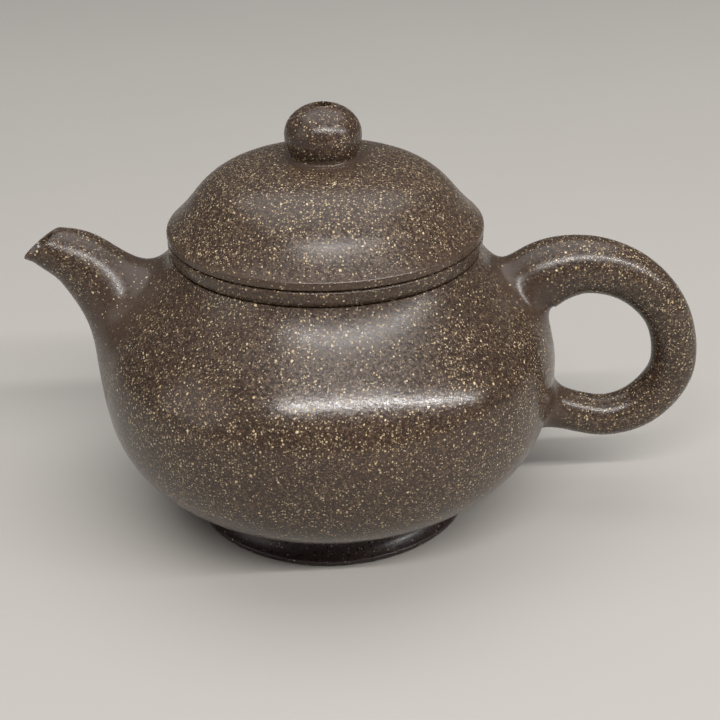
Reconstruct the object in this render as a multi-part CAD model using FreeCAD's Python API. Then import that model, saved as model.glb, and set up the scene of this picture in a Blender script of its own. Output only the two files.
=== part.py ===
import FreeCAD, Part
import math
import os

# A lidded clay teapot, in millimetres. +Z is up, the origin is on the pot's axis at the level of the
# surface that its foot stands on, the spout points along -X and the handle stands on the +X side.

# Driving dimensions
BELLY_RADIUS = 54.2
BELLY_HEIGHT = 38.2
WALL = 3.0
FOOT_RADIUS = 34.0
FOOT_JOINT = (29.5, 6.5)          # radius and height where the wall meets the base disc
SHOULDER_END = (35.8, 67.0)       # radius and height where the shoulder meets the mouth's lip
MOUTH_RADIUS = 32.0
MOUTH_DISC_RADIUS = 34.3
RING_RADIUS = 36.2
RING_TOP = 71.35
LID_GAP = 0.15                    # the lid's underside stands this far above the ring
LID_RADIUS = 36.4
LID_CREASE = (31.1, 78.1)         # radius and height where the brim meets the dome
LID_TOP = 88.3
BRIM_WIDTH = 7.3
FLANGE_CLEARANCE = 0.3
FLANGE_DEPTH = 11.0
FLANGE_THICKNESS = 2.6
KNOB_RADIUS = 8.7
KNOB_NECK = (6.0, 87.5)           # radius and height where the knob meets the dome
KNOB_MIDDLE = 93.5
KNOB_TOP = 100.5
VENT_RADIUS = 1.3
SPOUT_TIP_RADIUS = 5.3
SPOUT_BORE_RADIUS = 3.8
BORE_FLARE = 5.0                  # how much wider the bore is where it leaves the chamber
HANDLE_RADIUS = 5.4
FOOT_THICKNESS = 3.9
EDGE_ROUNDING = 0.8

LID_SEAT = RING_TOP + LID_GAP
FLANGE_RADIUS = MOUTH_RADIUS - FLANGE_CLEARANCE

# Outline of the pot from foot to widest point, and from there to the mouth, as (radius, height) poles
LOWER_SIDE = [FOOT_JOINT, (50.5, 12.9), (BELLY_RADIUS, BELLY_HEIGHT - 13.0), (BELLY_RADIUS, BELLY_HEIGHT)]
UPPER_SIDE = [(BELLY_RADIUS, BELLY_HEIGHT), (BELLY_RADIUS, BELLY_HEIGHT + 14.0), (40.7, 56.2), SHOULDER_END]

# Outline of the lid's dome, from its crease to the middle of its top
DOME_SIDE = [LID_CREASE, (27.2, 85.0), (21.0, LID_TOP), (0, LID_TOP)]

# Outlines of the mouth's lip, of the foot's hollow side and of the lid's brim, each from below to above
LIP_SIDE = [SHOULDER_END, (RING_RADIUS, 68.5), (RING_RADIUS, 70.0), (RING_RADIUS - 0.2, RING_TOP)]
FOOT_SIDE = [(FOOT_RADIUS, 1.5), (31.0, 3.2), (30.6, 5.6), (31.4, 8.5)]
BRIM_SIDE = [(LID_RADIUS, LID_SEAT + 1.4), (LID_RADIUS - 0.6, LID_SEAT + 3.6), (33.2, 76.6), LID_CREASE]

# Outline of the knob, from its neck to its widest point, and from there to the middle of its top
KNOB_LOWER_SIDE = [KNOB_NECK, (7.5, 89.1), (KNOB_RADIUS, 90.7), (KNOB_RADIUS, KNOB_MIDDLE)]
KNOB_UPPER_SIDE = [(KNOB_RADIUS, KNOB_MIDDLE), (KNOB_RADIUS, 97.4), (4.8, KNOB_TOP), (0, KNOB_TOP)]

# Middle line of the spout, from inside the pot to past the tip, as (x, z) poles
SPOUT_LINE = [(-38.5, 43.5), (-47.0, 54.0), (-55.2, 63.6), (-69.5, 70.0)]
SPOUT_STATIONS = [0.3, 0.4, 0.52, 0.66, 0.82, 1.0]
SPOUT_ROOT_RADIUS = 12.5
SPOUT_FLARE = 21.0
SPOUT_FLARE_POWER = 2.7
SPOUT_LOW_LIP = (-70.6, 65.2)     # the two ends of the slanting cut across the tip
SPOUT_HIGH_LIP = (-61.9, 71.7)

# Middle line of the handle, from inside the shoulder round to inside the belly, as (x, z) points, and
# how thick the handle is at each of them, as a share of its thickness beside the hand
HANDLE_LINE = [(42, 52), (50.2, 57.8), (61.5, 61.0), (72.8, 56.8), (81.6, 46.6), (83.6, 36.2), (78.4, 25.4),
               (68, 20.4), (58.5, 22.2), (49, 25.2)]
HANDLE_SHARES = [1.7, 1.42, 1.17, 1.1, 1.03, 1.0, 0.94, 0.88, 0.94, 1.2]

# The strainer over the spout's root: a ball that bulges into the pot, with rings of small holes
STRAINER_MIDDLE = (-45.2, 51.6)
STRAINER_RADIUS = 9.0
STRAINER_THICKNESS = 1.8
STRAINER_HOLE_RADIUS = 1.0
STRAINER_TILT = 139.0             # degrees from straight up to the ball's outward axis
STRAINER_RINGS = [(0, 1), (21, 6), (42, 12), (63, 16)]    # degrees from the axis, number of holes


def point(radius, height):
    return FreeCAD.Vector(radius, 0, height)


def line(start, end):
    return Part.LineSegment(point(*start), point(*end)).toShape()


def bezier_curve(poles):
    curve = Part.BezierCurve()
    curve.setPoles([point(*pole) for pole in poles])
    return curve


def bezier(poles):
    return bezier_curve(poles).toShape()


def turned(edges):
    """The solid that a closed outline makes when it turns about the pot's axis."""
    face = Part.Face(Part.Wire(edges))
    return face.revolve(point(0, 0), FreeCAD.Vector(0, 0, 1), 360)


def moved_in(poles, distance):
    """Poles of the curve that runs inside this one, at this distance from it."""
    normals = []
    for (r0, z0), (r1, z1) in zip(poles, poles[1:]):
        length = math.hypot(r1 - r0, z1 - z0)
        normals.append(((z0 - z1) / length, (r1 - r0) / length))
    inner = []
    for i, (r, z) in enumerate(poles):
        before = normals[max(i - 1, 0)]
        after = normals[min(i, len(normals) - 1)]
        share = distance / (1 + before[0] * after[0] + before[1] * after[1])
        inner.append((r + share * (before[0] + after[0]), z + share * (before[1] + after[1])))
    return inner


def rounded(solid, radius, places):
    """The solid with its circular edges at these (radius, height) places rounded."""
    chosen = []
    for edge in solid.Edges:
        if not isinstance(edge.Curve, Part.Circle):
            continue
        ring = (edge.Curve.Radius, edge.Curve.Center.z)
        if any(math.dist(ring, place) < 0.01 for place in places):
            chosen.append(edge)
    return solid.makeFillet(radius, chosen)


def section(centre, tangent, radius):
    """A circle across a middle line that lies in the XZ plane."""
    tilt = math.degrees(math.atan2(tangent.x, tangent.z))
    wire = Part.Wire(Part.makeCircle(radius))
    wire.Placement = FreeCAD.Placement(centre, FreeCAD.Rotation(FreeCAD.Vector(0, 1, 0), tilt))
    return wire


def swept(curve, stations, radii):
    """A round bar along a curve, with its own radius at each station of the curve."""
    sections = [section(curve.value(t), curve.tangent(t)[0], r) for t, r in zip(stations, radii)]
    return Part.makeLoft(sections, True)


INNER_LOWER = moved_in(LOWER_SIDE, WALL)
INNER_UPPER = moved_in(UPPER_SIDE, WALL)
INNER_DOME = moved_in(DOME_SIDE, WALL)


def pot_outside():
    """Everything within the pot's outer surface, from the base to the mouth."""
    return turned([line((0, FOOT_JOINT[1]), FOOT_JOINT), bezier(LOWER_SIDE), bezier(UPPER_SIDE),
                   line(SHOULDER_END, (0, SHOULDER_END[1])), line((0, SHOULDER_END[1]), (0, FOOT_JOINT[1]))])


def pot_inside():
    """Everything within the pot's inner surface."""
    low = (0, INNER_LOWER[0][1])
    high = (0, INNER_UPPER[-1][1])
    return turned([line(low, INNER_LOWER[0]), bezier(INNER_LOWER), bezier(INNER_UPPER),
                   line(INNER_UPPER[-1], high), line(high, low)])


def spout_channel():
    """The way that the tea takes through the wall and along the spout."""
    stations = [0.0] + SPOUT_STATIONS + [1.12]
    radii = [SPOUT_BORE_RADIUS + BORE_FLARE * max(1 - t, 0) ** 1.5 for t in stations]
    return swept(bezier_curve(SPOUT_LINE), stations, radii)


def lower_wall():
    """The lower half of the paddled wall, from the foot to the widest point."""
    return turned([bezier(LOWER_SIDE), line(LOWER_SIDE[-1], INNER_LOWER[-1]), bezier(INNER_LOWER[::-1]),
                   line(INNER_LOWER[0], FOOT_JOINT)])


def upper_wall():
    """The upper half of the wall, drawn in to the shoulder, pierced at the spout and open at the mouth."""
    shell = turned([bezier(UPPER_SIDE), line(SHOULDER_END, INNER_UPPER[-1]), bezier(INNER_UPPER[::-1]),
                    line(INNER_UPPER[0], UPPER_SIDE[0])])
    opening = Part.makeCylinder(MOUTH_DISC_RADIUS, SHOULDER_END[1], point(0, BELLY_HEIGHT))
    return shell.cut([spout_channel(), opening])


def base_disc():
    """The round bottom, with a slanting edge that the wall is luted to."""
    low = (0, FOOT_JOINT[1])
    high = (0, INNER_LOWER[0][1])
    return turned([line(low, FOOT_JOINT), line(FOOT_JOINT, INNER_LOWER[0]), line(INNER_LOWER[0], high),
                   line(high, low)])


def mouth_disc():
    """The flat ring of clay that closes the shoulder round the mouth, under the lip."""
    low = point(0, SHOULDER_END[1] - WALL)
    return Part.makeCylinder(MOUTH_DISC_RADIUS, WALL, low).cut(Part.makeCylinder(MOUTH_RADIUS, WALL, low))


def mouth_ring():
    """The lip that stands on the shoulder and carries the lid."""
    low = (MOUTH_RADIUS, SHOULDER_END[1])
    high = (MOUTH_RADIUS, RING_TOP)
    ring = turned([bezier(LIP_SIDE), line(LIP_SIDE[-1], high), line(high, low), line(low, LIP_SIDE[0])])
    ring = rounded(ring, EDGE_ROUNDING, [LIP_SIDE[-1]])
    return rounded(ring, EDGE_ROUNDING / 2, [high])


def foot_ring():
    """The flared foot, with a hollow side and a rounded tread."""
    tread_inside = (FOOT_RADIUS - FOOT_THICKNESS, 0)
    tread_outside = (FOOT_RADIUS, 0)
    top_inside = (tread_inside[0] - 2.6, FOOT_SIDE[-1][1])
    ring = turned([line(tread_inside, tread_outside), line(tread_outside, FOOT_SIDE[0]), bezier(FOOT_SIDE),
                   line(FOOT_SIDE[-1], top_inside), line(top_inside, tread_inside)])
    ring = rounded(ring, 1.1, [tread_outside])
    ring = rounded(ring, 0.6, [tread_inside])
    return ring.cut(pot_outside())


def spout():
    """The curved spout, flared where it is luted to the wall and cut at a slant across its tip."""
    stations = [0.0] + SPOUT_STATIONS + [1.08]
    flare = [SPOUT_TIP_RADIUS + SPOUT_FLARE * max(1 - t, 0) ** SPOUT_FLARE_POWER for t in stations[1:]]
    blank = swept(bezier_curve(SPOUT_LINE), stations, [SPOUT_ROOT_RADIUS] + flare)
    slant = point(*SPOUT_HIGH_LIP) - point(*SPOUT_LOW_LIP)
    beyond = Part.makeBox(60, 60, 60, FreeCAD.Vector(-30, -30, 0))
    tilt = FreeCAD.Rotation(FreeCAD.Vector(0, 1, 0), -math.degrees(math.atan2(slant.z, slant.x)))
    beyond.Placement = FreeCAD.Placement(point(*SPOUT_LOW_LIP), tilt).multiply(beyond.Placement)
    return blank.cut(pot_outside()).cut(spout_channel()).cut(beyond)


def strainer():
    """A pierced half ball that keeps the leaves out of the spout."""
    middle = point(*STRAINER_MIDDLE)
    ball = Part.makeSphere(STRAINER_RADIUS, middle)
    ball = ball.cut(Part.makeSphere(STRAINER_RADIUS - STRAINER_THICKNESS, middle))
    ball = ball.common(pot_inside())
    drill_start = STRAINER_RADIUS - 1.5 * STRAINER_THICKNESS
    drills = []
    for polar, count in STRAINER_RINGS:
        for i in range(count):
            drill = Part.makeCylinder(STRAINER_HOLE_RADIUS, 2 * STRAINER_THICKNESS, point(0, drill_start))
            drill.rotate(point(0, 0), FreeCAD.Vector(0, 1, 0), polar)
            drill.rotate(point(0, 0), FreeCAD.Vector(0, 0, 1), 360 * i / count)
            drill.rotate(point(0, 0), FreeCAD.Vector(0, 1, 0), STRAINER_TILT)
            drill.translate(middle)
            drills.append(drill)
    return ball.cut(drills)


def handle():
    """The round ear of the pot, thickest where it is luted to the shoulder."""
    curve = Part.BSplineCurve()
    curve.interpolate([point(*place) for place in HANDLE_LINE])
    stations = [curve.parameter(point(*place)) for place in HANDLE_LINE]
    bar = swept(curve, stations, [HANDLE_RADIUS * share for share in HANDLE_SHARES])
    return bar.cut(pot_outside())


def lid_outside():
    """Everything within the dome's outer surface, above the lid's crease."""
    low = (0, LID_CREASE[1])
    return turned([line(low, LID_CREASE), bezier(DOME_SIDE), line(DOME_SIDE[-1], low)])


def vent(low, high):
    """The straight hole that lets air in through the knob and the dome."""
    return Part.makeCylinder(VENT_RADIUS, high - low, point(0, low))


def lid_dome():
    """The domed top of the lid, pierced in the middle."""
    shell = turned([bezier(DOME_SIDE), line(DOME_SIDE[-1], INNER_DOME[-1]), bezier(INNER_DOME[::-1]),
                    line(INNER_DOME[0], LID_CREASE)])
    return shell.cut(vent(LID_TOP - 10, LID_TOP + 1))


def lid_brim():
    """The brim round the dome, flat underneath where it rests on the mouth's lip."""
    inner = (LID_RADIUS - BRIM_WIDTH, LID_SEAT)
    edge = (LID_RADIUS, LID_SEAT)
    solid = turned([line(inner, edge), line(edge, BRIM_SIDE[0]), bezier(BRIM_SIDE),
                    line(LID_CREASE, INNER_DOME[0]), line(INNER_DOME[0], inner)])
    return rounded(solid, EDGE_ROUNDING, [edge])


def lid_flange():
    """The collar under the lid that drops into the mouth."""
    inner = FLANGE_RADIUS - FLANGE_THICKNESS
    low = LID_SEAT - FLANGE_DEPTH
    collar = Part.makeCylinder(FLANGE_RADIUS, FLANGE_DEPTH, point(0, low))
    collar = collar.cut(Part.makeCylinder(inner, FLANGE_DEPTH, point(0, low)))
    return rounded(collar, 0.7, [(FLANGE_RADIUS, low), (inner, low)])


def knob():
    """The ball knob, with the vent through it opening out at the top."""
    low = (0, KNOB_NECK[1])
    ball = turned([line(low, KNOB_NECK), bezier(KNOB_LOWER_SIDE), bezier(KNOB_UPPER_SIDE),
                   line(KNOB_UPPER_SIDE[-1], low)])
    mouth = Part.makeCone(VENT_RADIUS, 2 * VENT_RADIUS, 2.5, point(0, KNOB_TOP - 1.5))
    return ball.cut(lid_outside()).cut([vent(KNOB_NECK[1], KNOB_TOP), mouth])


NODES = [lower_wall, upper_wall, base_disc, mouth_disc, mouth_ring, foot_ring, spout, strainer, handle,
         lid_dome, lid_brim, lid_flange, knob]

os.makedirs("parts", exist_ok=True)
for make in NODES:
    shape = make()
    shape.exportStep("parts/" + make.__name__ + ".step")
    print(make.__name__, len(shape.Solids), round(shape.Volume, 1), shape.isValid())
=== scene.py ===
import math

import bpy
import numpy as np
from mathutils import Matrix, Vector


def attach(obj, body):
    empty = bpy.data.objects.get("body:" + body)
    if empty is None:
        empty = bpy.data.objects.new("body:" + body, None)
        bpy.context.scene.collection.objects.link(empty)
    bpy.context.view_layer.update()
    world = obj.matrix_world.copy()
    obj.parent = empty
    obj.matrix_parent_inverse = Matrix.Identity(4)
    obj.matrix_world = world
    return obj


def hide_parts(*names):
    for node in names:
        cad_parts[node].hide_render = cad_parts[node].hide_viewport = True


# A lidded teapot of dark sandy clay. Lengths are in millimetres until a mesh is made, and then in metres.
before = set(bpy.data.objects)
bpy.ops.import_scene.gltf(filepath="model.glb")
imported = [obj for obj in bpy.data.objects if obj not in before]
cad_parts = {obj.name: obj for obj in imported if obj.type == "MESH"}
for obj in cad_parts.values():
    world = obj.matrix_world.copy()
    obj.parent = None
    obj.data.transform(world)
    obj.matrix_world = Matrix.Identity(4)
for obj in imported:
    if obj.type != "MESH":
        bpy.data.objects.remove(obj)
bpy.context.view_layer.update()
MM = 0.001

# ---------------------------------------------------------------------------------------------- outlines
# Poles of the curves, as (radius, height)
FOOT_JOINT = (29.5, 6.5)
SHOULDER_END = (35.8, 67.0)
# LOWER_SIDE and UPPER_SIDE make the wall's outside, and SIDE elsewhere is always an outer curve
LOWER_SIDE = [FOOT_JOINT, (50.5, 12.9), (54.19, 25.2), (54.19, 38.2)]
UPPER_SIDE = [(54.19, 38.2), (54.19, 52.2), (40.7, 56.2), SHOULDER_END]
WALL = 3.0
LIP_SIDE = [SHOULDER_END, (36.3, 68.2), (36.4, 69.6), (36.35, 70.8)]
LIP_TOP = 70.8
MOUTH_RADIUS = 32.0
MOUTH_DISC_RADIUS = 34.3
FOOT_SIDE = [(34.0, 1.5), (31.0, 3.2), (30.6, 5.6), (31.4, 8.5)]
FOOT_INSIDE = [(28.1, 6.5), (30.1, 0.0)]
LID_SEAT = 71.05
RIM = (36.4, 72.85)          # the upper edge of the brim's upright face
LID_CREASE = (31.1, 78.1)   # where the brim and dome pieces meet
HOLLOW = (30.9, 78.6)      # where the brim's hollow slope turns into the dome's round one
HOLLOW_SIDE = [RIM, (34.3, 74.7), (32.4, 76.72), HOLLOW]
CROWN_SIDE = [HOLLOW, (25.61, 85.25), (20.3, 88.3), (0.0, 88.3)]
BRIM_INSIDE = 29.1
DOME_SIDE = [LID_CREASE, (27.2, 85.0), (21.0, 88.3), (0.0, 88.3)]   # the dome's hidden side follows this
VENT_RADIUS = 1.3
FLANGE_OUTSIDE = 31.7
FLANGE_INSIDE = 29.1
FLANGE_LOW = 60.5
KNOB_LOWER_SIDE = [(6.0, 87.5), (7.5, 89.1), (8.7, 90.7), (8.7, 93.5)]
KNOB_UPPER_SIDE = [(8.7, 93.5), (8.7, 97.4), (4.8, 100.45), (0.0, 100.45)]
KNOB_TOP = 100.45
KNOB_NECK = (6.9, 88.25)   # where the knob's side would meet the dome
KNOB_FILLET = 1.5          # reach of the luted fillet round the knob
KNOB_BOTTOM = 87.3
VENT_MOUTH_RADIUS = 2.0
VENT_MOUTH_DEPTH = 3.2

# Spout and handle: points of the middle line as (x, z) and the radius there
SPOUT_BAR = [(-39.7, 43.6, 9.9), (-46.9, 52.1, 9.2), (-56.4, 63.1, 7.3), (-63.6, 67.2, 5.3),
             (-67.0, 69.0, 4.9), (-73.5, 71.0, 4.7)]
SPOUT_BLEND = 16.0
SPOUT_BORE = [(-40.0, 45.4, 7.4), (-47.0, 54.0, 6.0), (-56.0, 62.6, 4.4), (-63.5, 67.0, 3.7),
              (-76.0, 72.6, 3.6)]
SPOUT_LOW_LIP = (-70.6, 65.2)
SPOUT_HIGH_LIP = (-61.9, 71.7)
HANDLE_BAR = [(44.3, 51.5, 4.7), (50.1, 58.3, 7.6), (61.3, 60.9, 6.8), (72.8, 56.9, 6.0), (81.25, 47.2, 5.4),
              (83.45, 34.0, 5.4), (77.7, 24.4, 5.4), (68.7, 20.5, 5.1), (58.2, 22.2, 4.9), (47.0, 25.9, 4.3)]
HANDLE_BLEND = 12.0
SKIRT_DEPTH = 1.2          # how far the luted root of spout and handle is let into the wall
SKIRT_SINK = 0.02          # the root's thin edge dips under the wall's surface by this much
SKIRT_TOP = 66.5           # the skirt ends below the groove under the mouth ring
SKIRT_MARGIN = 2.0         # how far short of the fillet's own end the root's skirt stops

# How far each corner of a ring's outline is rounded, in the order of the outline's runs
LIP_ROUNDING = (0.7, 0.5, 0.0, 1.3)
FOOT_ROUNDING = (1.2, 0.25, 0.0, 0.0, 0.0, 0.0, 0.8)
DOME_ROUNDING = (0.3, 0.3, 0.0, 0.0)
BRIM_ROUNDING = (0.6, 0.4, 0.0, 0.0, 0.0)
COLLAR_ROUNDING = (0.8, 0.0, 0.0, 0.8)
KNOB_ROUNDING = (0.1, 0.2, 0.2, 0.0, 0.0, 0.0, 0.0)
SPOUT_EDGE = 1.0           # rounding outside the spout's mouth
BORE_EDGE = 0.8            # rounding inside it

SEGMENTS = 360
CURVE_STEPS = 48
CORNER_STEPS = 9


def bezier(poles, steps=CURVE_STEPS):
    """Points along a cubic curve with four poles."""
    t = np.linspace(0, 1, steps)[:, None]
    p = np.array(poles, float)
    return (1 - t) ** 3 * p[0] + 3 * (1 - t) ** 2 * t * p[1] + 3 * (1 - t) * t * t * p[2] + t ** 3 * p[3]


def straight(start, end, steps=5):
    """Points along a straight line."""
    return np.linspace(np.array(start, float), np.array(end, float), steps)


def trimmed(run, start, end):
    """A run of points without its first and last few millimetres."""
    along = np.concatenate([[0], np.cumsum(np.hypot(*np.diff(run, axis=0).T))])
    ends = (start, along[-1] - end)
    kept = (along > ends[0] + 1e-6) & (along < ends[1] - 1e-6)
    first, last = [[np.interp(d, along, run[:, i]) for i in (0, 1)] for d in ends]
    return np.vstack([[first], run[kept], [last]])


def closed_outline(runs, reaches):
    """One closed outline from runs that follow each other, with the corner after run i rounded
    over reaches[i] millimetres on each side."""
    pieces = []
    for i, run in enumerate(runs):
        pieces.append(trimmed(run, reaches[i - 1], reaches[i]))
    outline = []
    for i, piece in enumerate(pieces):
        outline.append(piece)
        if reaches[i] > 0:
            start, corner, end = piece[-1], runs[i][-1], pieces[(i + 1) % len(pieces)][0]
            t = np.linspace(0, 1, CORNER_STEPS)[1:-1, None]
            outline.append((1 - t) ** 2 * start + 2 * (1 - t) * t * corner + t ** 2 * end)
    points = np.vstack(outline)
    apart = np.hypot(*(points - np.roll(points, 1, axis=0)).T) > 1e-4
    return points[apart]


def offset(run, distance):
    """The run moved towards the side on its left, by this distance."""
    step = np.gradient(run, axis=0)
    step /= np.hypot(*step.T)[:, None]
    return run + distance * np.stack([-step[:, 1], step[:, 0]], axis=1)


def outline_normals(outline):
    """The outward direction at each point of a closed outline that runs anticlockwise."""
    ahead = np.roll(outline, -1, axis=0) - outline
    behind = np.roll(ahead, 1, axis=0)
    step = ahead + behind
    step /= np.hypot(*step.T)[:, None]
    return np.stack([step[:, 1], -step[:, 0]], axis=1)


def mesh_object(name, points, faces, normals=None):
    """A smooth-shaded closed mesh from points in millimetres."""
    mesh = bpy.data.meshes.new(name)
    mesh.from_pydata((np.asarray(points) * MM).tolist(), [], [list(map(int, f)) for f in faces])
    mesh.polygons.foreach_set("use_smooth", [True] * len(mesh.polygons))
    if normals is not None:
        mesh.normals_split_custom_set_from_vertices([Vector(n) for n in normals])
    mesh.validate()
    piece = bpy.data.objects.new(name, mesh)
    bpy.context.scene.collection.objects.link(piece)
    return piece


def skin_normals(outline, skin):
    """The outline's normals, taken from a longer open curve wherever the outline follows it."""
    normals = outline_normals(outline)
    step = np.gradient(skin, axis=0)
    step /= np.hypot(*step.T)[:, None]
    apart = np.hypot(outline[:, None, 0] - skin[None, :, 0], outline[:, None, 1] - skin[None, :, 1])
    on_skin = apart.min(1) < 1e-3
    nearest_step = step[apart.argmin(1)]
    away = np.stack([nearest_step[:, 1], -nearest_step[:, 0]], axis=1)
    normals[on_skin] = away[on_skin]
    return normals


def turned(name, outline, custom=True, skin=None):
    """The ring-shaped mesh that a closed outline of (radius, height) makes about the pot's axis."""
    after = np.roll(outline, -1, axis=0)
    twice_area = np.sum(outline[:, 0] * after[:, 1] - after[:, 0] * outline[:, 1])
    if twice_area < 0:
        outline = outline[::-1]
    angle = np.arange(SEGMENTS) * 2 * math.pi / SEGMENTS
    turn = np.stack([np.cos(angle), np.sin(angle)], axis=1)
    count = len(outline)

    def spun(pairs):
        flat = turn[:, None, :] * pairs[None, :, :1]
        high = np.broadcast_to(pairs[None, :, 1:], flat.shape[:2] + (1,))
        return np.concatenate([flat, high], axis=2).reshape(-1, 3)

    i, j = np.meshgrid(np.arange(SEGMENTS), np.arange(count), indexing="ij")
    after_i, after_j = (i + 1) % SEGMENTS, (j + 1) % count
    corners = [i * count + j, after_i * count + j, after_i * count + after_j, i * count + after_j]
    faces = np.stack(corners, axis=2)
    flat_normals = outline_normals(outline) if skin is None else skin_normals(outline, skin)
    normals = spun(flat_normals) if custom else None
    return mesh_object(name, spun(outline), faces.reshape(-1, 4), normals)


# ------------------------------------------------------------------------------- distances, in millimetres
def spline(stations, steps=40):
    """Points of a smooth curve through the stations."""
    p = np.array(stations, float)
    p = np.vstack([2 * p[0] - p[1], p, 2 * p[-1] - p[-2]])
    t = np.linspace(0, 1, steps, endpoint=False)[:, None]
    out = []
    for a, b, c, d in zip(p, p[1:], p[2:], p[3:]):
        out.append(0.5 * (2 * b + (c - a) * t + (2 * a - 5 * b + 4 * c - d) * t ** 2
                          + (3 * b - a - 3 * c + d) * t ** 3))
    return np.vstack(out + [p[-2][None]])


WINDOW = 10                # polyline points between the ones tried first
BATCH = 20000              # points handled at a time


def nearest(points, curve):
    """For each point, the nearest place on a polyline: segment number and share along it."""
    found = np.zeros(len(points), int)
    share = np.zeros(len(points))
    start, step = curve[:-1], np.diff(curve, axis=0)
    length2 = (step ** 2).sum(1)
    sparse = np.arange(0, len(curve), WINDOW)
    around = np.arange(-WINDOW, WINDOW + 1)
    for low in range(0, len(points), BATCH):
        q = points[low:low + BATCH]
        near = sparse[((q[:, None] - curve[sparse]) ** 2).sum(2).argmin(1)]
        seg = np.clip(near[:, None] + around, 0, len(step) - 1)
        away = q[:, None] - start[seg]
        t = np.clip((away * step[seg]).sum(2) / length2[seg], 0, 1)
        best = ((away - t[..., None] * step[seg]) ** 2).sum(2).argmin(1)
        rows = np.arange(len(q))
        found[low:low + BATCH] = seg[rows, best]
        share[low:low + BATCH] = t[rows, best]
    return found, share


POT_SIDE = np.vstack([bezier(LOWER_SIDE, 300), bezier(UPPER_SIDE, 300)[1:]])


def on_pot(points):
    """Signed distance from the pot's outer surface, negative inside, and the nearest point on it."""
    radius = np.hypot(points[:, 0], points[:, 1])
    flat = np.stack([radius, points[:, 2]], axis=1)
    seg, t = nearest(flat, POT_SIDE)
    step = POT_SIDE[seg + 1] - POT_SIDE[seg]
    place = POT_SIDE[seg] + t[:, None] * step
    away = flat - place
    side = np.sign(away[:, 0] * step[:, 1] - away[:, 1] * step[:, 0])
    turned_back = points[:, :2] * (place[:, 0] / np.maximum(radius, 1e-6))[:, None]
    return side * np.hypot(*away.T), np.column_stack([turned_back, place[:, 1]])


def from_pot(points):
    return on_pot(points)[0]


def from_bar(points, bar):
    """Signed distance from a round bar whose middle line lies in the XZ plane."""
    line = np.stack([bar[:, 0], 0 * bar[:, 0], bar[:, 1]], axis=1)
    seg, t = nearest(points, line)
    middle = line[seg] + t[:, None] * (line[seg + 1] - line[seg])
    radius = bar[seg, 2] + t * (bar[seg + 1, 2] - bar[seg, 2])
    return np.sqrt(((points - middle) ** 2).sum(1)) - radius


def melted(a, b, width):
    """The union of two shapes with a smooth fillet between them."""
    share = np.maximum(width - np.abs(a - b), 0) / width
    return np.minimum(a, b) - share ** 3 * width / 6


def edged(a, b, width):
    """The intersection of two shapes with a softened edge between them."""
    return -melted(-a, -b, width)


SPOUT_CURVE = spline(SPOUT_BAR)
BORE_CURVE = spline(SPOUT_BORE)
HANDLE_CURVE = spline(HANDLE_BAR)
NEAR_WALL = 3.0            # the skirt's end is worked out this close to the wall
MOUTH_ZONE = 41.0          # inside this radius the skirt must end below the mouth ring
FAR_INSIDE = -9.0          # stands for a distance well inside a shape


def root_field(points, curve, blend):
    """A bar melted into the pot, without the pot itself except a thin skirt round the bar's root."""
    pot, foot_point = on_pot(points)
    bar = from_bar(points, curve)
    skin = np.maximum(melted(pot + SKIRT_SINK, bar, blend), -(pot + SKIRT_DEPTH))
    close = np.abs(pot) < NEAR_WALL
    skirt_end = np.full(len(points), FAR_INSIDE)
    skirt_end[close] = from_bar(foot_point[close], curve) - (blend - SKIRT_MARGIN)
    near_mouth = np.hypot(points[:, 0], points[:, 1]) < MOUTH_ZONE
    under_lip = np.where(near_mouth, points[:, 2] - SKIRT_TOP, FAR_INSIDE)
    return np.maximum(skin, np.maximum(skirt_end, under_lip))


def spout_field(points):
    low, high = np.array(SPOUT_LOW_LIP), np.array(SPOUT_HIGH_LIP)
    across = (high - low) / np.hypot(*(high - low))
    beyond = (points[:, 0] - low[0]) * -across[1] + (points[:, 2] - low[1]) * across[0]
    whole = root_field(points, SPOUT_CURVE, SPOUT_BLEND)
    cut = edged(whole, beyond, SPOUT_EDGE)
    return edged(cut, -from_bar(points, BORE_CURVE), BORE_EDGE)


def handle_field(points):
    return root_field(points, HANDLE_CURVE, HANDLE_BLEND)


def slope(field, points, reach=0.25):
    """The direction in which a field grows fastest."""
    out = np.zeros_like(points)
    for axis in range(3):
        step = np.zeros(3)
        step[axis] = reach
        out[:, axis] = field(points + step) - field(points - step)
    return out / (2 * reach)


BLOCK = 4                  # grid points from one exact value of the sparse grid to the next


def sampled(field, grid, cell):
    """The field on a grid: exact near its surface, and only of the right sign further away."""
    sparse = grid[::BLOCK, ::BLOCK, ::BLOCK]
    rough = field(sparse.reshape(-1, 3)).reshape(sparse.shape[:3])
    closest = []
    for size, sparse_size in zip(grid.shape, rough.shape):
        closest.append(np.minimum((np.arange(size) + BLOCK // 2) // BLOCK, sparse_size - 1))
    value = rough[np.ix_(*closest)]
    needed = np.abs(value) < BLOCK * cell * 1.1
    value[needed] = field(grid[needed])
    return value


def mended(value, cell):
    """The field with no square of four grid points whose two inside corners touch only across the
    diagonal, since the skin would be torn there: one outside corner is filled in."""
    unit = np.eye(3, dtype=int)
    torn = True
    while torn:
        torn = False
        inside = value < 0
        for u, v in ((0, 1), (0, 2), (1, 2)):
            size = np.array(value.shape) - unit[u] - unit[v]
            quarter = {}
            for du in (0, 1):
                for dv in (0, 1):
                    start = du * unit[u] + dv * unit[v]
                    quarter[du, dv] = inside[tuple(slice(a, a + n) for a, n in zip(start, size))]
            level = (quarter[0, 0] == quarter[1, 1]) & (quarter[0, 1] == quarter[1, 0])
            for base in np.argwhere(level & (quarter[0, 0] != quarter[0, 1])):
                corners = [tuple(base + du * unit[u] + dv * unit[v]) for du, dv in quarter]
                outside = [c for c in corners if value[c] >= 0]
                if len(outside) == 2:
                    value[min(outside, key=lambda c: value[c])] = -0.05 * cell
                    torn = True
    return value


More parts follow.
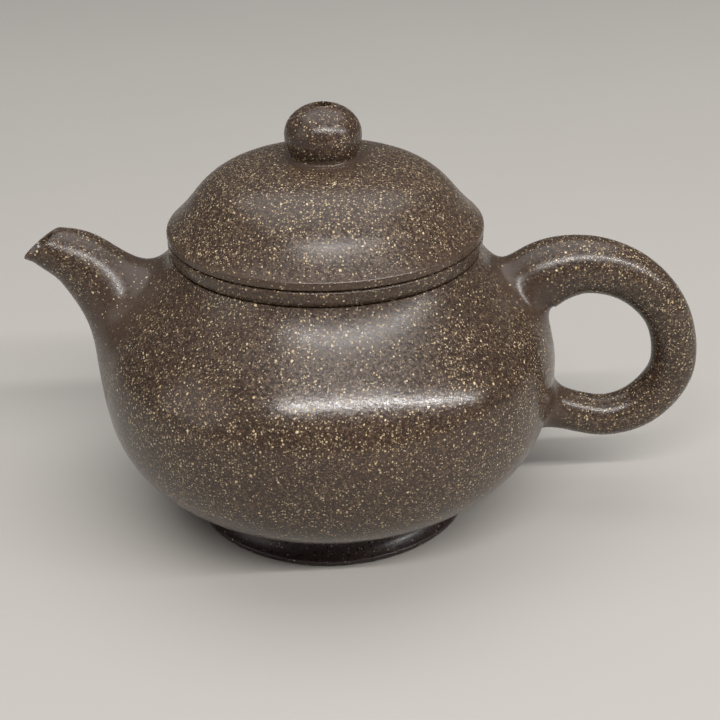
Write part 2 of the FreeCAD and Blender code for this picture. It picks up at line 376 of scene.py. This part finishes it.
def skinned(field, low, high, cell):
    """Points and quads of the surface where a field is zero, inside a box."""
    counts = [int(math.ceil((b - a) / cell)) + 1 for a, b in zip(low, high)]
    axes = [a + cell * np.arange(n) for a, n in zip(low, counts)]
    grid = np.stack(np.meshgrid(*axes, indexing="ij"), axis=3)
    value = mended(sampled(field, grid, cell), cell)
    inside = value < 0
    total = np.zeros([n - 1 for n in counts] + [3])
    hits = np.zeros([n - 1 for n in counts])
    crossings = []
    for axis in range(3):
        a = [slice(None)] * 3
        b = [slice(None)] * 3
        a[axis], b[axis] = slice(0, -1), slice(1, None)
        a, b = tuple(a), tuple(b)
        crossed = inside[a] != inside[b]
        with np.errstate(divide="ignore", invalid="ignore"):
            share = np.where(crossed, value[a] / (value[a] - value[b]), 0)
        place = grid[a].copy()
        place[..., axis] += share * cell
        crossings.append((crossed, inside[a]))
        others = [k for k in range(3) if k != axis]
        for da in (0, 1):
            for db in (0, 1):
                cells = [slice(None)] * 3
                source = [slice(None)] * 3
                for other, shift in zip(others, (da, db)):
                    size = counts[other]
                    cells[other] = slice(0, size - 1)
                    source[other] = slice(shift, size - 1 + shift)
                mark = crossed[tuple(source)]
                hits += mark
                total += place[tuple(source)] * mark[..., None]
    used = hits > 0
    number = np.full(used.shape, -1)
    number[used] = np.arange(used.sum())
    points = total[used] / hits[used][:, None]
    faces = []
    for axis in range(3):
        crossed, from_inside = crossings[axis]
        u, v = [k for k in range(3) if k != axis]
        where = np.argwhere(crossed)
        where = where[(where[:, u] > 0) & (where[:, v] > 0)
                      & (where[:, u] < counts[u] - 1) & (where[:, v] < counts[v] - 1)]
        corners = []
        for du, dv in ((1, 1), (0, 1), (0, 0), (1, 0)):
            at = where.copy()
            at[:, u] -= du
            at[:, v] -= dv
            corners.append(number[tuple(at.T)])
        quad = np.stack(corners, axis=1)
        forward = from_inside[tuple(where.T)] == (axis != 1)
        quad[~forward] = quad[~forward][:, ::-1]
        faces.append(quad)
    return points, np.vstack(faces)


TINY = 0.02                # step for a slope taken on one side
FACING_OUT = 0.2           # least agreement with the wall's normal on the root's outer side
SEAM_FADE = 0.5            # height over the wall in which the root's shading becomes its own


def grown(name, field, box, cell):
    """A mesh of a field, each point brought onto the surface and shaded so that the root and the wall
    look like one skin."""
    points, faces = skinned(field, *box, cell)
    for _ in range(2):
        value = field(points)
        ahead = [field(points + TINY * axis) - value for axis in np.eye(3)]
        gradient = np.stack(ahead, axis=1) / TINY
        size2 = np.maximum((gradient ** 2).sum(1), 0.25)
        step = value[:, None] * gradient / size2[:, None]
        points = points - np.clip(step, -0.4 * cell, 0.4 * cell)
    normals = slope(field, points)
    normals /= np.sqrt((normals ** 2).sum(1))[:, None]
    wall = slope(from_pot, points)
    wall /= np.sqrt((wall ** 2).sum(1))[:, None]
    height = from_pot(points)
    outer = (normals * wall).sum(1) > FACING_OUT
    share = np.clip((height + SKIRT_SINK) / SEAM_FADE, 0, 1)
    share = np.where(outer, share * share * (3 - 2 * share), 1)[:, None]
    mixed = share * normals + (1 - share) * wall
    mixed /= np.sqrt((mixed ** 2).sum(1))[:, None]
    return mesh_object(name, points, faces, mixed)


# ------------------------------------------------------------------------------------------ the pieces
BORE_CUT_END = -58         # the tube that pierces the wall ends here, outside it
SHARP_ANGLE = math.radians(35)


def pot_wall():
    """The pot's wall with the spout's opening through it."""
    lower, upper = bezier(LOWER_SIDE, 90), bezier(UPPER_SIDE, 90)
    outer = np.vstack([lower, upper[1:]])
    inner = offset(outer, WALL)[::-1]
    start = (MOUTH_DISC_RADIUS, float(np.interp(MOUTH_DISC_RADIUS, inner[:20, 0], inner[:20, 1])))
    inner = inner[inner[:, 1] < start[1]]
    runs = [outer, straight(outer[-1], (MOUTH_DISC_RADIUS, outer[-1][1])),
            straight((MOUTH_DISC_RADIUS, outer[-1][1]), inner[0]), inner, straight(inner[-1], outer[0])]
    wall = turned("wall", closed_outline(runs, [0] * len(runs)), custom=False)
    line = BORE_CURVE[BORE_CURVE[:, 0] > BORE_CUT_END]
    bore = tube("bore", line)
    cut = wall.modifiers.new("bore", "BOOLEAN")
    cut.object, cut.operation, cut.solver = bore, "DIFFERENCE", "EXACT"
    depsgraph = bpy.context.evaluated_depsgraph_get()
    shaped = bpy.data.meshes.new_from_object(wall.evaluated_get(depsgraph))
    wall.modifiers.clear()
    wall.data = shaped
    bpy.data.objects.remove(bore)
    wall.data.polygons.foreach_set("use_smooth", [True] * len(wall.data.polygons))
    wall.data.set_sharp_from_angle(angle=SHARP_ANGLE)
    return wall


def tube(name, line, sides=48):
    """A closed tube along a line of (x, z, radius)."""
    step = np.gradient(line[:, :2], axis=0)
    step /= np.hypot(*step.T)[:, None]
    angle = np.arange(sides) * 2 * math.pi / sides
    points = []
    for (x, z, radius), (dx, dz) in zip(line, step):
        points.append(np.stack([x + radius * np.cos(angle) * -dz, radius * np.sin(angle),
                                z + radius * np.cos(angle) * dx], axis=1))
    count = len(line)
    faces = [list(range(sides)), list(range((count - 1) * sides, count * sides))[::-1]]
    for i in range(count - 1):
        for j in range(sides):
            k = (j + 1) % sides
            faces.append([i * sides + j, (i + 1) * sides + j, (i + 1) * sides + k, i * sides + k])
    return mesh_object(name, np.vstack(points), faces)


def lip():
    side = bezier(LIP_SIDE, 24)
    high, low = (MOUTH_RADIUS, LIP_TOP), (MOUTH_RADIUS, SHOULDER_END[1])
    runs = [side, straight(side[-1], high), straight(high, low), straight(low, side[0])]
    return turned("lip", closed_outline(runs, LIP_ROUNDING))


def foot():
    side = bezier(FOOT_SIDE, 30)
    tread_out, tread_in = (FOOT_SIDE[0][0], 0.0), FOOT_INSIDE[1]
    beside = from_pot(np.stack([side[:, 0], 0 * side[:, 0], side[:, 1]], axis=1))
    side = side[beside > 0]
    under = bezier(LOWER_SIDE, 300)
    under = under[under[:, 0] < side[-1][0]][::-1]
    runs = [straight(tread_in, tread_out), straight(tread_out, side[0]), side,
            straight(side[-1], under[0], 2), under, straight(under[-1], FOOT_INSIDE[0]),
            straight(FOOT_INSIDE[0], tread_in)]
    return turned("foot", closed_outline(runs, FOOT_ROUNDING))


def lid_skin():
    """The lid's outer curve from the edge of its brim to the middle of its top, with a soft crease, and
    the number of the point in the crease where the brim ends and the dome begins."""
    skin = np.vstack([bezier(HOLLOW_SIDE, 90), bezier(CROWN_SIDE, 160)[1:]])
    return skin, int(np.abs(skin[:, 0] - LID_CREASE[0]).argmin())


def dome():
    skin, middle = lid_skin()
    outer = skin[middle:]
    outer = outer[outer[:, 0] > VENT_RADIUS]
    outer = np.vstack([outer, [[VENT_RADIUS, DOME_SIDE[-1][1]]]])
    inner = offset(bezier(DOME_SIDE, 120), WALL)[::-1]
    inner = inner[inner[:, 0] > VENT_RADIUS]
    inner = np.vstack([[[VENT_RADIUS, inner[0][1]]], inner])
    runs = [outer, straight(outer[-1], inner[0]), inner, straight(inner[-1], outer[0])]
    return turned("lid_top", closed_outline(runs, DOME_ROUNDING), skin=skin)


def brim():
    skin, middle = lid_skin()
    side = skin[:middle + 1]
    inner_crease = offset(bezier(DOME_SIDE, 120), WALL)[0]
    low_in, low_out = (BRIM_INSIDE, LID_SEAT), (RIM[0], LID_SEAT)
    runs = [straight(low_in, low_out), straight(low_out, side[0]), side, straight(side[-1], inner_crease),
            straight(inner_crease, low_in)]
    return turned("lid_brim_ring", closed_outline(runs, BRIM_ROUNDING), skin=skin)


def collar():
    corners = [(FLANGE_INSIDE, FLANGE_LOW), (FLANGE_OUTSIDE, FLANGE_LOW), (FLANGE_OUTSIDE, LID_SEAT),
               (FLANGE_INSIDE, LID_SEAT)]
    runs = [straight(a, b, 7) for a, b in zip(corners, corners[1:] + corners[:1])]
    return turned("lid_collar", closed_outline(runs, COLLAR_ROUNDING))


def knob():
    lower, upper = bezier(KNOB_LOWER_SIDE, 40), bezier(KNOB_UPPER_SIDE, 60)
    top = upper[upper[:, 0] > VENT_MOUTH_RADIUS + 0.4]
    neck = np.array(KNOB_NECK)
    lower = lower[lower[:, 1] > neck[1] + KNOB_FILLET]
    dome_side = bezier(DOME_SIDE, 400)
    rim = dome_side[np.abs(dome_side[:, 0] - neck[0] - KNOB_FILLET).argmin()]
    t = np.linspace(0, 1, 13)[:-1, None]
    fillet = (1 - t) ** 2 * rim + 2 * (1 - t) * t * neck + t ** 2 * lower[0]
    side = np.vstack([fillet, lower, top[1:]])
    under = (VENT_RADIUS, KNOB_BOTTOM)
    mouth = (VENT_MOUTH_RADIUS, KNOB_TOP - 0.1)
    step_out = (VENT_MOUTH_RADIUS, KNOB_TOP - VENT_MOUTH_DEPTH)
    step_in = (VENT_RADIUS, step_out[1] - 0.6)
    low_rim = (rim[0], KNOB_BOTTOM)
    runs = [side, straight(side[-1], mouth), straight(mouth, step_out), straight(step_out, step_in),
            straight(step_in, under), straight(under, low_rim), straight(low_rim, rim, 2)]
    return turned("lid_knob", closed_outline(runs, KNOB_ROUNDING))


SPOUT_BOX = ((-74, -28, 18), (-30, 28, 76))
HANDLE_BOX = ((33, -20, 6), (92, 20, 72))
SPOUT_CELL = 0.45
HANDLE_CELL = 0.6
cell_scale = 1.0
wall = pot_wall()
spout = grown("spout_piece", spout_field, SPOUT_BOX, SPOUT_CELL * cell_scale)
ear = grown("handle_piece", handle_field, HANDLE_BOX, HANDLE_CELL * cell_scale)
lip_piece, foot_piece = lip(), foot()
dome_piece, brim_piece, collar_piece, knob_piece = dome(), brim(), collar(), knob()


def eased(value, low, high):
    """0 below low, 1 above high and smooth between them."""
    t = np.clip((value - low) / (high - low), 0, 1)
    return t * t * (3 - 2 * t)


def mark_worked(piece, share):
    """Stores how far the clay was smoothed over with a wet tool, for each point of a piece."""
    co = np.zeros(len(piece.data.vertices) * 3, np.float32)
    piece.data.vertices.foreach_get("co", co)
    points = co.reshape(-1, 3).astype(float) / MM
    layer = piece.data.attributes.new("worked", "FLOAT", "POINT")
    layer.data.foreach_set("value", share(points).astype(np.float32))


def worked_pot(points):
    """Smoothed round the luted roots of spout and handle, and half as much at the spout's mouth."""
    pot = from_pot(points)
    share = np.zeros(len(points))
    for curve, blend in ((SPOUT_CURVE, SPOUT_BLEND), (HANDLE_CURVE, HANDLE_BLEND)):
        near_root = 1 - np.abs(pot - from_bar(points, curve)) / blend
        share = np.maximum(share, eased(near_root, 0.1, 0.75))
    tip = eased(-points[:, 0], 62.0, 68.0)
    return np.maximum(share, 0.5 * tip)


def worked_lip(points):
    return np.full(len(points), 0.35)


def worked_foot(points):
    return np.full(len(points), 0.4)


def worked_lid(points):
    """Smoothed along the brim's edge and round the knob."""
    radius = np.hypot(points[:, 0], points[:, 1])
    edge = 1 - eased(points[:, 2], 72.6, 74.4)
    round_knob = 1 - eased(radius, 8.5, 12.5)
    return np.maximum(0.85 * edge, 0.9 * round_knob)


def worked_knob(points):
    return 1 - eased(points[:, 2], 88.4, 89.8)


for piece in (wall, spout, ear):
    mark_worked(piece, worked_pot)
for piece in (dome_piece, brim_piece, collar_piece):
    mark_worked(piece, worked_lid)
mark_worked(lip_piece, worked_lip)
mark_worked(foot_piece, worked_foot)
mark_worked(knob_piece, worked_knob)

STANDS_FOR = [
    (wall, "pot", ("lower_wall", "upper_wall"), "body_clay"),
    (spout, "pot", ("spout",), "body_clay"),
    (ear, "pot", ("handle",), "body_clay"),
    (lip_piece, "pot", ("mouth_ring",), "body_clay"),
    (foot_piece, "pot", ("foot_ring",), "foot_clay"),
    (dome_piece, "lid", ("lid_dome",), "lid_clay"),
    (brim_piece, "lid", ("lid_brim",), "lid_clay"),
    (collar_piece, "lid", ("lid_flange",), "inner_clay"),
    (knob_piece, "lid", ("knob",), "lid_clay"),
]
for piece, body, nodes, slot in STANDS_FOR:
    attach(piece, body)
    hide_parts(*nodes)


# ------------------------------------------------------------------------------------------- materials
class Nodes:
    """Short calls for building a material's node tree."""

    def __init__(self, name):
        self.material = bpy.data.materials.new(name)
        self.material.use_nodes = True
        self.tree = self.material.node_tree
        self.tree.nodes.clear()

    def add(self, kind, inputs=None, **settings):
        node = self.tree.nodes.new(kind)
        for key, value in settings.items():
            setattr(node, key, value)
        for key, value in (inputs or {}).items():
            self.put(node.inputs[key], value)
        return node

    def put(self, socket, value):
        if isinstance(value, bpy.types.NodeSocket):
            self.tree.links.new(value, socket)
        else:
            socket.default_value = value

    def math(self, operation, a, b=0.0, c=0.0):
        node = self.add("ShaderNodeMath", {0: a, 1: b, 2: c}, operation=operation)
        return node.outputs[0]

    def ramp(self, value, low, high, to_low=0.0, to_high=1.0):
        """value spread smoothly from [low, high] to [to_low, to_high]"""
        node = self.add("ShaderNodeMapRange", {0: value, 1: low, 2: high, 3: to_low, 4: to_high},
                        interpolation_type="SMOOTHSTEP")
        return node.outputs[0]

    def noise(self, vector, scale, detail=2.0, roughness=0.5):
        node = self.add("ShaderNodeTexNoise", {"Vector": vector, "Scale": scale, "Detail": detail,
                                               "Roughness": roughness})
        return node

    def mix(self, share, a, b):
        node = self.add("ShaderNodeMix", data_type="RGBA")
        self.put(node.inputs[0], share)
        self.put(node.inputs[6], a)
        self.put(node.inputs[7], b)
        return node.outputs[2]


def rgb(r, g, b):
    return (r, g, b, 1.0)


SEED_STEP = (0.137, 0.071, 0.193)


def scattered(n, place, size, seed):
    """Cells of this size about scattered points, a different scatter for each seed."""
    shift = tuple(seed * step for step in SEED_STEP)
    moved = n.add("ShaderNodeVectorMath", {0: place, 1: shift}, operation="ADD").outputs[0]
    return n.add("ShaderNodeTexVoronoi", {"Vector": moved, "Scale": 1.0 / size, "Randomness": 1.0},
                 voronoi_dimensions="3D", feature="F1")


def cell_value(n, place, size, seed):
    """One random number for each grain-sized cell."""
    cells = scattered(n, place, size, seed)
    return n.add("ShaderNodeSeparateColor", {0: cells.outputs["Color"]}).outputs[0]


def uneven(n, value, low, rise, spike, power):
    """low + rise * value + spike * value ** power: most cells near the ground tone, a few much paler."""
    high = n.math("MULTIPLY", n.math("POWER", value, power), spike)
    return n.math("ADD", n.math("MULTIPLY_ADD", value, rise, low), high)


def grains(n, place, size, share, spread, seed):
    """A mask of scattered irregular sand grains. size is their spacing in metres, share is the part of the
    cells that holds one, and spread is the largest grain's radius as a share of the spacing."""
    cells = scattered(n, place, size, seed)
    parts = n.add("ShaderNodeSeparateColor", {0: cells.outputs["Color"]}).outputs
    present = n.math("LESS_THAN", parts[0], share)
    radius = n.ramp(parts[1], 0.0, 1.0, 0.4 * spread, spread)
    inside = n.math("SUBTRACT", radius, cells.outputs["Distance"])
    mask = n.ramp(inside, -0.05, 0.07)
    return n.math("MULTIPLY", mask, present), parts[2]


PALE = (rgb(0.19, 0.14, 0.085), rgb(0.62, 0.50, 0.31))
GOLD = (rgb(0.40, 0.27, 0.12), rgb(0.74, 0.60, 0.38))
DARK = (rgb(0.022, 0.017, 0.017), rgb(0.040, 0.035, 0.037))
# spacing in metres, part of the cells, largest radius, seed, colours, strength
SAND = [(0.00042, 0.32, 0.44, 1, PALE, 0.9), (0.00068, 0.37, 0.34, 2, PALE, 0.93),
        (0.00112, 0.20, 0.26, 3, GOLD, 0.95), (0.00054, 0.32, 0.43, 4, DARK, 0.85),
        (0.00105, 0.14, 0.33, 5, DARK, 0.8)]


FINE_CELL = 0.00027        # metres
MEDIUM_CELL = 0.00050
WOBBLE_SCALE = 1900.0      # per metre
WOBBLE = 0.0005            # how far grain edges are pushed about, in metres
SKIN_SCALE = 1500.0
SKIN_RELIEF = 0.000020
WAVE_SCALE = 42.0
WAVE_RELIEF = 0.00022
SHOULDER_ZONE = (0.050, 0.060)
CLAY_IOR = 1.48


def clay(name, base, grain_share=1.0, rough=0.24, neck=0.0):
    """Fired sandy clay: a granular dark ground, pale and dark grains of several sizes, and a satin skin
    that is rougher by neck above the shoulder. The mesh's "worked" attribute is 1 where a wet tool has
    smoothed fine clay over the sand."""
    n = Nodes(name)
    place = n.add("ShaderNodeTexCoord").outputs["Object"]
    worked = n.add("ShaderNodeAttribute", attribute_name="worked").outputs["Fac"]
    sandy = n.math("MULTIPLY_ADD", worked, -0.8, 1.0)
    wobble = n.noise(place, WOBBLE_SCALE, 2.0)
    shift = n.add("ShaderNodeVectorMath", {0: wobble.outputs["Color"], 1: (0.5, 0.5, 0.5)},
                  operation="SUBTRACT").outputs[0]
    shift = n.add("ShaderNodeVectorMath", {0: shift, 3: WOBBLE}, operation="SCALE").outputs[0]
    warped = n.add("ShaderNodeVectorMath", {0: place, 1: shift}, operation="ADD").outputs[0]

    fine = cell_value(n, place, FINE_CELL, 7)
    medium = cell_value(n, warped, MEDIUM_CELL, 8)
    tone = n.math("MULTIPLY", uneven(n, fine, 0.55, 0.55, 1.4, 8.0), uneven(n, medium, 0.66, 0.46, 0.7, 9.0))
    tone = n.math("ADD", n.math("MULTIPLY", n.math("SUBTRACT", tone, 1.0), sandy), 1.0)
    broad = n.ramp(n.noise(place, 28.0, 3.0).outputs[0], 0.3, 0.7, 0.92, 1.08)
    tone = n.math("MULTIPLY", tone, broad)
    ground = n.mix(n.ramp(medium, 0.0, 1.0), rgb(base[0], base[1] * 0.97, base[2] * 1.04),
                   rgb(base[0], base[1] * 1.03, base[2] * 0.94))
    colour = n.add("ShaderNodeVectorMath", {0: ground, 3: tone}, operation="SCALE").outputs[0]

    patches = n.math("MULTIPLY", n.ramp(n.noise(place, 75.0, 2.0).outputs[0], 0.3, 0.7, 0.6, 1.3), sandy)
    height = n.math("ADD", n.math("MULTIPLY", fine, 0.12), n.math("MULTIPLY", medium, 0.2))
    for size, share, spread, seed, tones, strength in SAND:
        amount = n.math("MULTIPLY", patches, share * grain_share)
        mask, tint = grains(n, warped, size, amount, spread, seed)
        grain = n.mix(tint, tones[0], tones[1])
        colour = n.mix(n.math("MULTIPLY", mask, strength), colour, grain)
        if tones is not DARK:
            height = n.math("ADD", height, n.math("MULTIPLY", mask, 0.2))
    smooth_noise = n.noise(place, SKIN_SCALE, 1.0, 0.5).outputs[0]
    height = n.math("ADD", height, n.math("MULTIPLY", smooth_noise, 1.3))
    height = n.math("MULTIPLY", height, n.math("MULTIPLY_ADD", worked, -0.55, 1.0))

    bump = n.add("ShaderNodeBump", {"Strength": 1.0, "Distance": SKIN_RELIEF, "Height": height})
    soft = n.noise(place, WAVE_SCALE, 2.0).outputs[0]
    wave = n.add("ShaderNodeBump", {"Strength": 1.0, "Distance": WAVE_RELIEF, "Height": soft,
                                    "Normal": bump.outputs[0]})
    shine = n.ramp(medium, 0.0, 1.0, rough - 0.03, rough + 0.09)
    up = n.add("ShaderNodeSeparateXYZ", {0: place}).outputs[2]
    shine = n.math("ADD", shine, n.ramp(up, *SHOULDER_ZONE, 0.0, neck))
    shader = n.add("ShaderNodeBsdfPrincipled", {"Base Color": colour, "Roughness": shine,
                                                "Normal": wave.outputs[0]})
    shader.inputs["IOR"].default_value = CLAY_IOR
    n.add("ShaderNodeOutputMaterial", {"Surface": shader.outputs[0]})
    return n.material


GROUND = (0.060, 0.038, 0.0258)
body_clay = clay("body_clay", GROUND, rough=0.165, neck=0.13)
limb_clay = clay("limb_clay", GROUND, grain_share=1.1, rough=0.26)
lid_clay = clay("lid_clay", tuple(c * 1.08 for c in GROUND), grain_share=1.25, rough=0.26)
knob_clay = clay("knob_clay", (0.060, 0.037, 0.0255), grain_share=0.9, rough=0.27)
foot_clay = clay("foot_clay", (0.030, 0.018, 0.018), grain_share=0.3, rough=0.30)
inner_clay = clay("inner_clay", (0.070, 0.047, 0.034), grain_share=0.7, rough=0.55)

COATS = {"wall": body_clay, "spout_piece": limb_clay, "handle_piece": limb_clay, "lip": limb_clay,
         "foot": foot_clay, "lid_top": lid_clay, "lid_brim_ring": lid_clay, "lid_collar": inner_clay,
         "lid_knob": knob_clay}
for piece_name, coat in COATS.items():
    mesh = bpy.data.objects[piece_name].data
    mesh.materials.clear()
    mesh.materials.append(coat)
wall.data.materials.append(inner_clay)
centres = np.array([face.center for face in wall.data.polygons]) / MM
inside_faces = from_pot(centres) < -1.0
wall.data.polygons.foreach_set("material_index", inside_faces.astype(np.int32))
for node_name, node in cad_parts.items():
    node.data.materials.clear()
    node.data.materials.append(inner_clay)


# ------------------------------------------------------------------------------------- floor and lights
def slab(name, corners, coat):
    """A flat sheet through four corners in metres."""
    mesh = bpy.data.meshes.new(name)
    mesh.from_pydata(corners, [], [(0, 1, 2, 3)])
    mesh.materials.append(coat)
    sheet = bpy.data.objects.new(name, mesh)
    bpy.context.scene.collection.objects.link(sheet)


def plain(name, colour, rough=0.7):
    """A matt paint, very slightly uneven."""
    n = Nodes(name)
    place = n.add("ShaderNodeTexCoord").outputs["Object"]
    tone = n.ramp(n.noise(place, 6.0, 3.0).outputs[0], 0.3, 0.7, 0.0, 1.0)
    shade = n.mix(tone, rgb(*[c * 0.98 for c in colour]), rgb(*colour))
    shader = n.add("ShaderNodeBsdfPrincipled", {"Base Color": shade, "Roughness": rough})
    n.add("ShaderNodeOutputMaterial", {"Surface": shader.outputs[0]})
    return n.material


floor_coat = plain("floor_coat", (0.425, 0.405, 0.375))
REACH = 3
slab("floor", [(-REACH, -REACH, 0), (REACH, -REACH, 0), (REACH, REACH, 0), (-REACH, REACH, 0)], floor_coat)


def lamp(name, place, target, size, power, colour, aside=0.0):
    """A rectangular soft light, size = (width, height) in metres, turned to its target and then moved
    aside along its own width."""
    data = bpy.data.lights.new(name, "AREA")
    data.shape, data.size, data.size_y = "RECTANGLE", size[0], size[1]
    data.energy, data.color = power, colour
    light = bpy.data.objects.new(name, data)
    light.rotation_mode = "QUATERNION"
    light.rotation_quaternion = (Vector(target) - Vector(place)).to_track_quat("-Z", "Y")
    light.location = Vector(place) + light.rotation_quaternion @ Vector((aside, 0.0, 0.0))
    bpy.context.scene.collection.objects.link(light)


AIM = (0.0, 0.0, 0.045)
WARM = (1.0, 0.985, 0.97)
lamp("strip", (0.053, -0.762, 0.965), AIM, (3.0, 0.034), 31.0, WARM, 1.0)
lamp("haze", (0.045, -0.64, 1.01), AIM, (2.0, 0.18), 1.1, WARM, 0.5)
lamp("sky", (0.0, 0.3, 1.6), AIM, (2.4, 1.6), 20.0, (0.98, 0.985, 1.0))
lamp("fill", (-1.3, -0.5, 0.6), AIM, (0.9, 0.9), 2.4, (1.0, 0.97, 0.93))

ROOM_GLOW = 0.14
world = bpy.data.worlds.new("room")
bpy.context.scene.world = world
world.use_nodes = True
world.node_tree.nodes["Background"].inputs[0].default_value = (0.80, 0.80, 0.80, 1.0)
world.node_tree.nodes["Background"].inputs[1].default_value = ROOM_GLOW

# --------------------------------------------------------------------------------------------- camera
EYE = (0.00744, -0.28141, 0.18030)
RIGHT = Vector((0.99987, -0.00733, -0.01435))
UP = Vector((0.01611, 0.45459, 0.89055))
camera_data = bpy.data.cameras.new("camera")
camera_data.sensor_width, camera_data.lens = 36.0, 65.0
camera_data.clip_start, camera_data.clip_end = 0.01, 20.0
camera = bpy.data.objects.new("camera", camera_data)
bpy.context.scene.collection.objects.link(camera)
back = RIGHT.cross(UP).normalized()
up = back.cross(RIGHT).normalized()
right = up.cross(back)
turn = Matrix((right, up, back)).transposed().to_4x4()
camera.matrix_world = Matrix.Translation(EYE) @ turn
bpy.context.scene.camera = camera
bpy.context.scene.view_settings.view_transform = "Standard"
